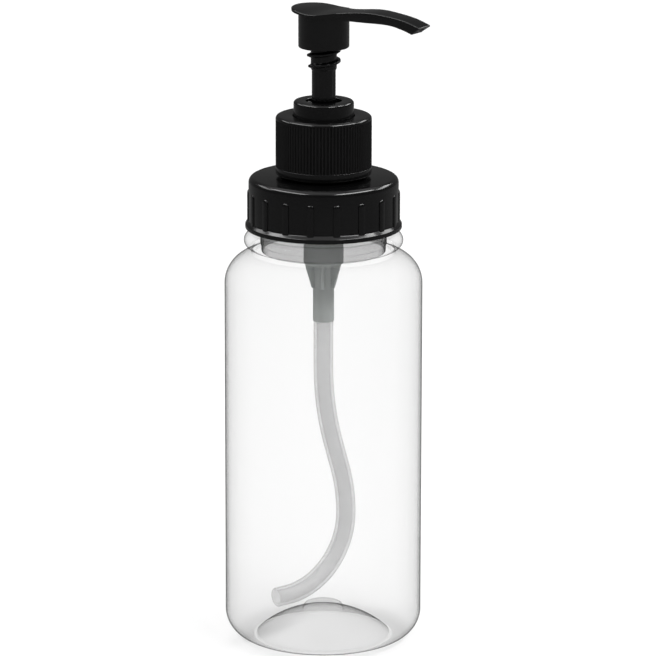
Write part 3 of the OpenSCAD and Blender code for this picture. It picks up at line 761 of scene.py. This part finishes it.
def bottle_outline():
    under = dome_line(0, button_r + 0.5, dome_r - 0.4)
    button = dome_h + button_h
    inner_heel = heel - wall
    over = dome_line(wall, dome_r + 0.6, button_r + wall + 0.4)
    shoulder_end = math.degrees(math.acos((band_r + 0.3 - shoulder_x) / shoulder_r))
    inner_end = math.degrees(math.acos((band_bore_r + 0.2 - shoulder_x) / (shoulder_r - wall)))
    bead_start = -90 - math.degrees(math.asin((bead_x - band_r) / bead_r))
    outside = [(0, button)] + arc(button_r - 0.7, button - 0.7, 0.7, 90, 0, 5) + under
    outside += arc(dome_r + 0.5, 0.5, 0.5, 200, 270, 4)
    outside += arc(foot_r, heel, heel, -90, 0, 20)
    levels = [heel + (shoulder_z - heel) * i / 6 for i in range(1, 6)]
    outside += [(body_r, z) for z in levels]
    outside += arc(shoulder_x, shoulder_z, shoulder_r, 0, shoulder_end, 20)
    outside += [(band_r, shoulder_z + shoulder_r + 0.35)]
    outside += arc(bead_x, bead_z, bead_r, bead_start, 90, 18)
    outside += [(neck_r + 0.3, bead_z + bead_r), (neck_r, bead_z + bead_r + 0.3)]
    lip = 0.35
    outside += arc(neck_r - lip, mouth_z - lip, lip, 0, 90, 4)
    inside = arc(mouth_r + lip, mouth_z - lip, lip, 90, 180, 4)
    inside += [(mouth_r, bead_z - bead_r + 1.4), (band_bore_r, bead_z - bead_r)]
    inside += arc(shoulder_x, shoulder_z, shoulder_r - wall, inner_end, 0, 20)
    inside += [(body_r - wall, z) for z in reversed(levels)]
    inside += arc(foot_r, heel, inner_heel, 0, -90, 20)
    inside += [(dome_r + 0.9, wall)] + over
    inside += arc(button_r + wall - 1.2, button + wall - 1.2, 1.2, 0, 90, 5)
    return outside + inside + [(0, button + wall)]


# %% Make the bottle
screw_z = mouth_z - screw_lead * screw_turns - 1.5
screw = (ridge_wide, screw_lead, screw_turns)
finished_piece(
    "bottle_shell",
    [turned(bottle_outline(), 192), thread(neck_r, ridge_high, *screw, screw_z, clear_bottle)],
    clear_bottle, "bottle", ["bottle"],
)

# %% [markdown]
# ## Neck insert
# A milky sleeve stands in the mouth and hangs below the bead. Its flange rests on the rim,
# under the lid. The lower end is stepped, so that it finds the mouth when it is pushed in.

# %% Make the insert
sleeve_r = mouth_r - 0.05
sleeve_bore_r = sleeve_r - 1.0
sleeve_foot = foot_of("lid_insert")
insert_flange_r = radius_of("lid_insert")
insert_top = top_of("lid_insert")
step_r = sleeve_r - 0.33
insert_outline = rounded([
    (sleeve_bore_r, sleeve_foot, 0.15), (step_r, sleeve_foot, 0.3),
    (step_r, sleeve_foot + 2.3, 0.1), (sleeve_r, sleeve_foot + 2.5, 0.1),
    (sleeve_r, mouth_z), (insert_flange_r, mouth_z, 0.2),
    (insert_flange_r, insert_top, 0.3), (sleeve_bore_r, insert_top, 0.3),
])
finished_piece("neck_insert", [turned(insert_outline)], milky_insert, "insert", ["lid_insert"])

# %% [markdown]
# ## Screw lid
# The lid is a wide cup with a rounded upper edge, a flared lower edge and round-ended grip
# ribs. The pump's own threaded neck stands on it. The ribs are one small lofted mesh, copied
# round the lid by the ring tree.

# %% Lid sizes
lid_z = foot_of("lid")
lid_top = 156.2
lid_roof = lid_top - 1.6
lid_bore_r = neck_r + 1.15
lid_r = lid_bore_r + 1.4
flare_r = radius_of("lid")
pump_neck_r = 12.6
pump_bore_r = 10.5
pump_neck_z = top_of("lid")
rib_count = 18
rib_half = 1.25
rib_out = 0.45
rib_top = lid_z + 12.6
first_rib = 14
lid_outline = rounded([
    (lid_bore_r, lid_z, 0.2), (flare_r, lid_z, 0.35), (flare_r, lid_z + 1.4, 0.5),
    (lid_r, lid_z + 2.5, 0.8), (lid_r, lid_top, 1.9), (pump_neck_r, lid_top, 0.4),
    (pump_neck_r, pump_neck_z, 0.3), (pump_bore_r, pump_neck_z, 0.3),
    (pump_bore_r, lid_roof, 0.2), (lid_bore_r, lid_roof, 0.4),
])
print("lid", round(2 * lid_r, 1), "mm across, flaring to", round(2 * flare_r, 1))


# %% One grip rib
def grip_rib():
    """A bar with a half-round front that ends in a quarter ball."""
    shape = bmesh.new()
    start = lid_z + 1.0
    bend = rib_top - rib_half
    levels = [(start, 1.0), (lid_z + 2.2, 1.0)]
    levels += [(bend + rib_half * math.sin(math.radians(a)), math.cos(math.radians(a)))
               for a in (0, 18, 36, 54, 70, 84)]
    rows = []
    for height, scale in levels:
        row = [shape.verts.new(Vector((lid_r - 0.6, s * rib_half * scale, height)) * MM)
               for s in (-1, 1)]
        for i in range(9):
            angle = math.radians(90 - 180 * i / 8)
            out = lid_r - 0.1 + (rib_out + 0.1) * max(0.0, math.cos(angle)) ** 0.5 * scale
            side = rib_half * scale * math.sin(angle)
            row.append(shape.verts.new(Vector((out, side, height)) * MM))
        rows.append(row)
    return skin(shape, rows)


# %% Make the lid
lid_thread_z = screw_z - screw_lead / 2
pump_thread_z = pump_neck_z - screw_lead * screw_turns - 1.5
finished_piece(
    "screw_lid",
    [
        turned(lid_outline, 160),
        ring_of(grip_rib(), rib_count, black_gloss, first_rib),
        thread(lid_bore_r, -ridge_high, *screw, lid_thread_z, black_gloss),
        thread(pump_neck_r, 1.04, *screw, pump_thread_z, black_gloss),
    ],
    black_gloss, "lid", ["lid"],
)

# %% [markdown]
# ## Ribbed closure
# The closure clamps the pump on the lid. Its grip is a ring of fine upright ridges between a
# plain band at the foot and a rounded top edge. Each ridge is a little round-nosed bar.

# %% Closure sizes
closure_z = foot_of("closure")
closure_top = top_of("closure")
closure_r = radius_of("closure")
closure_root_r = closure_r - 0.4
closure_bore_r = closure_root_r - 1.3
ridge_count = 88
ridge_z = closure_z + 2.4
ridge_top = closure_top - 1.15
collar_r = 9.85
closure_hole_r = collar_r + 0.3
closure_roof = closure_top - 1.6
closure_outline = rounded([
    (closure_bore_r, closure_z, 0.15), (closure_r, closure_z, 0.35), (closure_r, ridge_z, 0.12),
    (closure_root_r, ridge_z + 0.15), (closure_root_r, ridge_top), (closure_r, ridge_top),
    (closure_r, closure_top, 1.1), (closure_hole_r, closure_top, 0.25),
    (closure_hole_r, closure_roof, 0.1), (closure_bore_r, closure_roof, 0.3),
])


# %% One fine ridge
def fine_ridge():
    """A round-nosed upright bar that fills its share of the closure's wall."""
    shape = bmesh.new()
    half = math.pi * closure_root_r / ridge_count
    nose = [(-0.25, -half * 0.9), (0.0, -half * 0.86), (0.28, -half * 0.42), (0.4, 0),
            (0.28, half * 0.42), (0.0, half * 0.86), (-0.25, half * 0.9)]
    rows = [[shape.verts.new(Vector((closure_root_r + out, side, z)) * MM) for out, side in nose]
            for z in (ridge_z - 0.1, closure_top - 1.1)]
    return skin(shape, rows)


# %% Make the closure
closure_thread_z = pump_thread_z - screw_lead / 2
finished_piece(
    "ribbed_closure",
    [
        turned(closure_outline, 160),
        ring_of(fine_ridge(), ridge_count, black_gloss),
        thread(closure_bore_r, -ridge_high, *screw, closure_thread_z, black_gloss),
    ],
    black_gloss, "closure", ["closure"], crease=40,
)

# %% [markdown]
# ## Lock collar
# The collar carries the pump: a round boss above the closure with a threaded hole, a flange
# that the closure clamps, and a long sleeve that guides the stem. The stem's thread screws
# into the hole when the pump is locked down.

# %% Make the lock collar
collar_top = top_of("lock_collar")
sleeve_end = foot_of("lock_collar")
flange_z = top_of("pump_housing")
lock_hole_r = 5.85
lock_floor = collar_top - 4.4
stem_r = 3.9
sleeve_out_r = 5.43
lock_lead = 3.5
flange_h = 1.5
guide_r = stem_r + 0.1
guide_mouth_r = stem_r + 0.35
collar_outline = rounded([
    (guide_mouth_r, sleeve_end, 0.15), (sleeve_out_r, sleeve_end, 0.4),
    (sleeve_out_r, flange_z, 0.2), (pump_neck_r, flange_z, 0.15),
    (pump_neck_r, flange_z + flange_h, 0.15), (collar_r, flange_z + flange_h, 0.2),
    (collar_r, collar_top, 0.95), (lock_hole_r, collar_top, 0.3), (lock_hole_r, lock_floor, 0.2),
    (guide_r, lock_floor, 0.15), (guide_r, flange_z), (guide_mouth_r, flange_z - 0.3),
])
lock_thread = thread(
    lock_hole_r, -1.05, ridge_wide, lock_lead, 0.6, lock_floor + 0.95, black_gloss
)
finished_piece(
    "lock_collar_ring", [turned(collar_outline), lock_thread], black_gloss, "pump", ["lock_collar"]
)

# %% [markdown]
# ## Stem
# The stem slides in the collar. Shallow flutes run down its slim part. They let air in, and
# they come from a bulge rule on the turned shape, which pulls the wall in at eight places. The
# thicker top carries the lock thread.

# %% Make the stem
stem_foot = foot_of("stem")
stem_top = top_of("stem")
barrel_r = 4.25
barrel_z = collar_top + 10.1
barrel_end = 201.0
rod_top = top_of("piston_rod")
rod_fit_r = 2.54
plug_r = 3.6
outlet_bore_r = 1.6
flute_count = 8
flute_deep = 0.16


def fluted(angle, radius, height):
    """Pulls the slim part's outer wall in at each flute."""
    if radius < stem_r - 0.05 or not collar_top + 0.4 < height < barrel_z - 0.2:
        return radius
    wave = math.cos(flute_count * angle)
    return radius - flute_deep * max(0.0, (wave - 0.45) / 0.55) ** 0.6


stem_outline = rounded([
    (rod_fit_r, stem_foot, 0.2), (stem_r, stem_foot, 0.3), (stem_r, collar_top + 0.4),
    (stem_r, collar_top + 0.9), (stem_r, barrel_z - 0.6), (stem_r, barrel_z - 0.1),
    (barrel_r, barrel_z + 0.5, 0.15), (barrel_r, barrel_end, 0.15), (plug_r, barrel_end, 0.1),
    (plug_r, stem_top, 0.3), (outlet_bore_r, stem_top, 0.2), (outlet_bore_r, rod_top + 0.1),
    (rod_fit_r, rod_top + 0.1, 0.1),
])
stem_thread = thread(
    barrel_r, 1.25, 2.0, lock_lead, 1.9, barrel_z + 1.15, black_gloss, start_angle=200, crest=0.3
)
finished_piece(
    "fluted_stem", [turned(stem_outline, 192, fluted), stem_thread], black_gloss, "head", ["stem"]
)

# %% [markdown]
# ## Head and spout
# Seen from above, the head is a round thumb pad that narrows to a slim spout. Seen from the
# side, it is a thin sheet with a shallow dip for the thumb, a long hump and a drooping tip.
# Two smooth lines give the upper and lower surfaces, and a third gives the half width. Rings
# that follow the plan's edge give it the small rounding that catches a thin line of light.

# %% Lines of the head
pad_z = 211.69  # the pad's raised back then stays just inside the frame's box
pad_r = radius_of("pump_head")
pad_back = -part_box("pump_head")[0].x / MM - pad_r
spout_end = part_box("pump_head")[1].x / MM
skirt_z = foot_of("pump_head")


def smooth_line(points, at):
    """Height of the smooth curve through (place, height) points, at one place."""
    last = len(points) - 1
    i = max(k for k in range(last) if k == 0 or points[k][0] <= at)
    a, b, c, d = (points[max(0, min(last, i + k))] for k in (-1, 0, 1, 2))
    low, high = 0.0, 1.0

    def blend(t, axis):
        return 0.5 * (
            2 * b[axis] + (c[axis] - a[axis]) * t
            + (2 * a[axis] - 5 * b[axis] + 4 * c[axis] - d[axis]) * t * t
            + (3 * b[axis] - a[axis] - 3 * c[axis] + d[axis]) * t ** 3
        )

    for _ in range(24):
        middle = (low + high) / 2
        if blend(middle, 0) < at:
            low = middle
        else:
            high = middle
    return blend(low, 1)


upper_line = [(-pad_r - pad_back - 1, 0.45), (-6, 0), (1, -0.7), (9, 0.05), (spout_end / 2, 1.05),
              (spout_end * 0.7, 0.6), (spout_end * 0.86, -0.35), (spout_end, -2)]
lower_line = [(-pad_r - pad_back - 1, -0.75), (-5, -1.15), (2.6, -1.85), (9.4, -2.35),
              (spout_end / 3, -2.5), (spout_end * 0.67, -2.3), (spout_end * 0.83, -3.35),
              (spout_end - 2.6, -4.65)]
spout_width = [(2, 6.5), (5.6, 6.5), (7.2, 5.6), (8.8, 4.85), (12.8, 4.1), (20, 4.25), (30, 3.65),
               (spout_end + 1, 3.45)]


def half_width(u):
    """Half width of the head at u along the spout: the pad's circle, then the spout."""
    from_middle = u + pad_back
    circle = math.sqrt(max(0.0, pad_r ** 2 - from_middle ** 2))
    if u < 3:
        return circle
    return max(circle, smooth_line(spout_width, u))


print("head from", round(-pad_r - pad_back, 2), "to", round(spout_end, 2), "mm")


# %% The sheet of the head
def plan_edge():
    """(u, half width) stations from the back of the pad to the tip."""
    back = -pad_back - pad_r
    stations = [(-pad_back - pad_r * math.cos(math.radians(a)), pad_r * math.sin(math.radians(a)))
                for a in range(2, 112, 4)]
    turn = stations[-1][0]
    steps = 64
    ahead = [turn + (spout_end - 0.5 - turn) * i / steps for i in range(1, steps + 1)]
    stations = [(back, 0.0)] + stations + [(u, half_width(u)) for u in ahead]
    tip_w = half_width(spout_end)
    return stations + [(spout_end - 0.15, tip_w - 0.12), (spout_end, tip_w - 0.45)]


def sheet_rings(stations):
    """Rings round the sheet's edge, from its underside to its top."""
    normals = []
    for i in range(len(stations)):
        before = stations[max(0, i - 1)]
        after = stations[min(len(stations) - 1, i + 1)]
        along = Vector((after[0] - before[0], after[1] - before[1])).normalized()
        normals.append(Vector((-along.y, along.x)))
    normals[0] = Vector((-1, 0))
    normals[-1] = Vector((0.7, 0.7))
    rim = 0.38
    levels = [(0.0, 0.3, 0.0), (0.0, 0.12, 0.06), (0.0, 0.05, 0.2)]
    levels += [(1.0, rim * (1 - math.cos(math.radians(a))), -rim * (1 - math.sin(math.radians(a))))
               for a in (0, 20, 40, 60, 78, 90)]
    rings = []
    for share, inset, lift in levels:
        ring = []
        for (u, w), normal in zip(stations, normals):
            lag = 2.9 * max(0.0, (u - 28) / (spout_end - 28)) ** 2
            at = u - lag * (1 - share)
            line = upper_line if share else lower_line
            inset_here = min(inset, w) if w > 0 else inset
            place = Vector((at, w)) - normal * inset_here
            ring.append((place.x, max(0.0, place.y), pad_z + smooth_line(line, at) + lift))
        rings.append(ring)
    return rings


def head_sheet():
    shape = bmesh.new()
    stations = plan_edge()
    rows = []
    for ring in sheet_rings(stations):
        right = [shape.verts.new((u * MM, w * MM, z * MM)) for u, w, z in ring]
        left = [shape.verts.new((u * MM, -w * MM, z * MM)) for u, w, z in ring]
        rows.append((right, left))
    count = len(stations)
    for (right_a, left_a), (right_b, left_b) in zip(rows, rows[1:]):
        for i in range(count - 1):
            shape.faces.new((right_a[i], right_b[i], right_b[i + 1], right_a[i + 1]))
            shape.faces.new((left_a[i], left_a[i + 1], left_b[i + 1], left_b[i]))
        shape.faces.new((right_a[-1], right_b[-1], left_b[-1], left_a[-1]))
    for right, left in (rows[0], rows[-1]):
        for i in range(count - 1):
            shape.faces.new((right[i], right[i + 1], left[i + 1], left[i]))
    return weld(shape)


# %% [markdown]
# The liquid leaves by a flat slot in the tip. A Boolean cuts it from the sheet with a small
# sloping bar, which is quick and keeps the tip's edges crisp.


# %% Cut the outlet and make the skirt
def cut_outlet(sheet):
    """Cuts the slot in the tip with a bar that slopes as the duct does."""
    body = add_object("sheet", mesh_of("sheet", sheet))
    bar = bmesh.new()
    bmesh.ops.create_cube(bar, size=1)
    bmesh.ops.scale(bar, vec=(9 * MM, 2.6 * MM, 1.0 * MM), verts=bar.verts)
    bmesh.ops.bevel(bar, geom=bar.edges, offset=0.25 * MM, segments=3, affect="EDGES")
    slope = Matrix.Rotation(math.radians(21), 4, "Y")
    place = Matrix.Translation(Vector((spout_end - 2.6, 0, pad_z - 2.6)) * MM)
    bmesh.ops.transform(bar, matrix=place @ slope, verts=bar.verts)
    cutter = add_object("outlet_bar", mesh_of("outlet_bar", bar))
    cut = body.modifiers.new("outlet", "BOOLEAN")
    cut.operation = "DIFFERENCE"
    cut.solver = "EXACT"
    cut.object = cutter
    shape = with_modifiers(body)
    bpy.data.objects.remove(cutter)
    return shape


skirt_r = 8.3
roof_z = pad_z - 3.3
skirt_bore_r = skirt_r - 1.1
skirt_top = pad_z - 1.0
boss_r = 5.2
boss_foot = barrel_end + 0.05
fit = 0.02
socket_r = plug_r + fit
socket_top = stem_top + 0.1
duct_top = pad_z - 1.6
skirt_outline = rounded([
    (0, skirt_top), (skirt_r, skirt_top), (skirt_r, skirt_z, 0.6), (skirt_bore_r, skirt_z, 0.25),
    (skirt_bore_r, roof_z, 0.5), (boss_r, roof_z, 0.5), (boss_r, boss_foot, 0.2),
    (socket_r, boss_foot, 0.2), (socket_r, socket_top, 0.1), (outlet_bore_r, socket_top),
    (outlet_bore_r, duct_top), (0, duct_top),
])
finished_piece(
    "press_head", [cut_outlet(head_sheet()), turned(skirt_outline)],
    black_gloss, "head", ["pump_head"], crease=40,
)

# %% [markdown]
# ## Pump housing
# The housing is natural plastic: a flange, a long barrel, a cone carried by thin upright fins
# round a slim core, and a tail that grips the dip tube. The fins are one tapering plate,
# copied by the ring tree.

# %% Housing sizes
housing_r = 6.55
chamber_r = 5.45
housing_top = top_of("pump_housing")
barrel_foot = 127.05
cone_foot = 118.95
tail_foot = foot_of("pump_housing")
tail_r = 3.47
tube_r = 3.2
fin_count = 6
seat_z = cone_foot + 2.1
ball_room_r = 2.73
chamber_foot = barrel_foot + 1.1
flange_foot = housing_top - flange_h
core_r = tail_r + 0.1
grip_r = tube_r + fit
grip_top = cone_foot - 1.3
housing_outline = rounded([
    (0, seat_z), (1.5, seat_z), (ball_room_r, cone_foot + 3.5), (ball_room_r, chamber_foot, 0.2),
    (chamber_r, chamber_foot, 0.4), (chamber_r, housing_top, 0.2),
    (pump_neck_r, housing_top, 0.15), (pump_neck_r, flange_foot, 0.15),
    (housing_r, flange_foot, 0.5), (housing_r, barrel_foot, 0.35), (core_r, barrel_foot, 0.4),
    (core_r, cone_foot, 0.05), (tail_r, cone_foot - 0.1), (tail_r, tail_foot, 0.12),
    (grip_r, tail_foot), (grip_r, grip_top), (0, grip_top),
])


# %% One fin
def cone_fin():
    """A thin tapering plate between the barrel and the foot of the cone."""
    shape = bmesh.new()
    side = [(tail_r - 0.4, cone_foot + 0.05), (tail_r + 0.6, cone_foot + 0.05),
            (tail_r + 0.75, cone_foot + 0.25), (housing_r - 0.1, barrel_foot - 0.4),
            (housing_r - 0.1, barrel_foot + 0.3), (tail_r - 0.4, barrel_foot + 0.3)]
    half = 0.55
    rows = [[shape.verts.new(Vector((out, s * half, z)) * MM) for out, z in side]
            for s in (-1, 1)]
    for i in range(len(side)):
        j = (i + 1) % len(side)
        shape.faces.new((rows[0][i], rows[0][j], rows[1][j], rows[1][i]))
    shape.faces.new(rows[0])
    shape.faces.new(rows[1])
    bmesh.ops.bevel(shape, geom=shape.edges, offset=0.1 * MM, segments=2, affect="EDGES")
    bmesh.ops.recalc_face_normals(shape, faces=shape.faces)
    return shape


# %% Make the housing
finished_piece(
    "finned_housing",
    [turned(housing_outline), ring_of(cone_fin(), fin_count, natural_plastic)],
    natural_plastic, "pump", ["pump_housing"],
)

# %% [markdown]
# ## Dip tube
# The tube runs straight down, leans gently, swings back and curls to the heel, where it picks
# up the last of the sauce. It repeats the frame's route: runs and bends in one upright plane,
# each given by a length or by a turn and a radius. A curve with a bevel would also do, but a
# swept mesh has a real bore and square ends.

# %% The tube's route
tube_turn = 69
tube_bore_r = 2.2
tube_top = top_of("dip_tube")
tube_runs = [(tube_top - 92, 0), (17, 90), (10, 0), (17, -54), (88, -24.6), (4.3, 0)]


def tube_stations():
    """(sideways, height, heading) stations in millimetres and radians, heading 0 being down."""
    x, z, heading = 0.0, tube_top, 0.0
    stations = [(x, z, heading)]
    for amount, radius in tube_runs:
        steps = 8 if radius == 0 else math.ceil(amount / 3)
        for _ in range(steps):
            if radius == 0:
                x += amount / steps * math.sin(heading)
                z -= amount / steps * math.cos(heading)
            else:
                turn = math.copysign(math.radians(amount / steps), radius)
                x += radius * (math.cos(heading) - math.cos(heading + turn))
                z += radius * (math.sin(heading) - math.sin(heading + turn))
                heading += turn
            stations.append((x, z, heading))
    return stations


def swept_tube(stations, sides=40):
    """A pipe with a small rounding at each lip, swept through the stations."""
    shape = bmesh.new()
    swing = math.radians(tube_turn)
    lip = 0.12
    first, last = stations[0], stations[-1]

    def ring(station, radius, shift=0.0):
        x, z, heading = station
        x += shift * math.sin(heading)
        z -= shift * math.cos(heading)
        points = []
        for k in range(sides):
            angle = 2 * math.pi * k / sides
            across = x + radius * math.cos(angle) * math.cos(heading)
            off = radius * math.sin(angle)
            place = Vector((
                across * math.cos(swing) - off * math.sin(swing),
                across * math.sin(swing) + off * math.cos(swing),
                z + radius * math.cos(angle) * math.sin(heading),
            ))
            points.append(shape.verts.new(place * MM))
        return points

    rows = [ring(first, tube_r - lip), ring(first, tube_r, lip)]
    rows += [ring(s, tube_r) for s in stations[1:-1]]
    rows += [ring(last, tube_r, -lip), ring(last, tube_r - lip)]
    rows += [ring(last, tube_bore_r + lip), ring(last, tube_bore_r, -lip)]
    rows += [ring(s, tube_bore_r) for s in reversed(stations[1:-1])]
    rows += [ring(first, tube_bore_r, lip), ring(first, tube_bore_r + lip)]
    return skin(shape, rows, loop=True)


# %% Make the dip tube
hose = swept_tube(tube_stations())
finished_piece("dip_tube_hose", [hose], tube_plastic, "pump", ["dip_tube"])

# %% [markdown]
# ## Return spring
# The spring is a wire helix whose first and last coils lie flat. Its pitch changes along the
# way, so a loop places the rings of the wire.

# %% Make the spring
wire_d = 0.7
spring_r = chamber_r - 1.25
spring_foot = foot_of("return_spring")
spring_top = top_of("return_spring")
coil_count = 8


def spring_shape():
    shape = bmesh.new()
    steps, sides = 40, 10
    rise = spring_top - spring_foot - wire_d
    rows = []
    for i in range(steps * coil_count + 1):
        turn = i / steps
        free = max(0.0, min(1.0, (turn - 1) / (coil_count - 2)))
        flat = min(turn, 1.0) + max(0.0, turn - coil_count + 1)
        height = spring_foot + wire_d / 2 + wire_d * flat + (rise - 2 * wire_d) * free
        angle = 2 * math.pi * turn
        row = []
        for k in range(sides):
            swing = 2 * math.pi * k / sides
            r = spring_r + wire_d / 2 * math.cos(swing)
            z = height + wire_d / 2 * math.sin(swing)
            place = Vector((r * math.cos(angle), r * math.sin(angle), z))
            row.append(shape.verts.new(place * MM))
        rows.append(row)
    return skin(shape, rows)


spring = finished_piece("spring_wire", [spring_shape()], spring_steel, "pump", ["return_spring"])
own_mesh(spring)

# %% [markdown]
# ## The pieces that stay
# The piston, its rod, the ball, its cage and the gasket are right as they are in the frame.
# They only need their finishes.

# %% Finishes on the frame's own nodes
kept = {"piston_rod": natural_plastic, "piston": natural_plastic, "ball_cage": natural_plastic,
        "check_ball": ball_steel, "neck_gasket": gasket_foam}
for node, finish in kept.items():
    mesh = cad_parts[node].data
    mesh.materials.clear()
    mesh.materials.append(finish)
    print(node, "is now", finish.name)
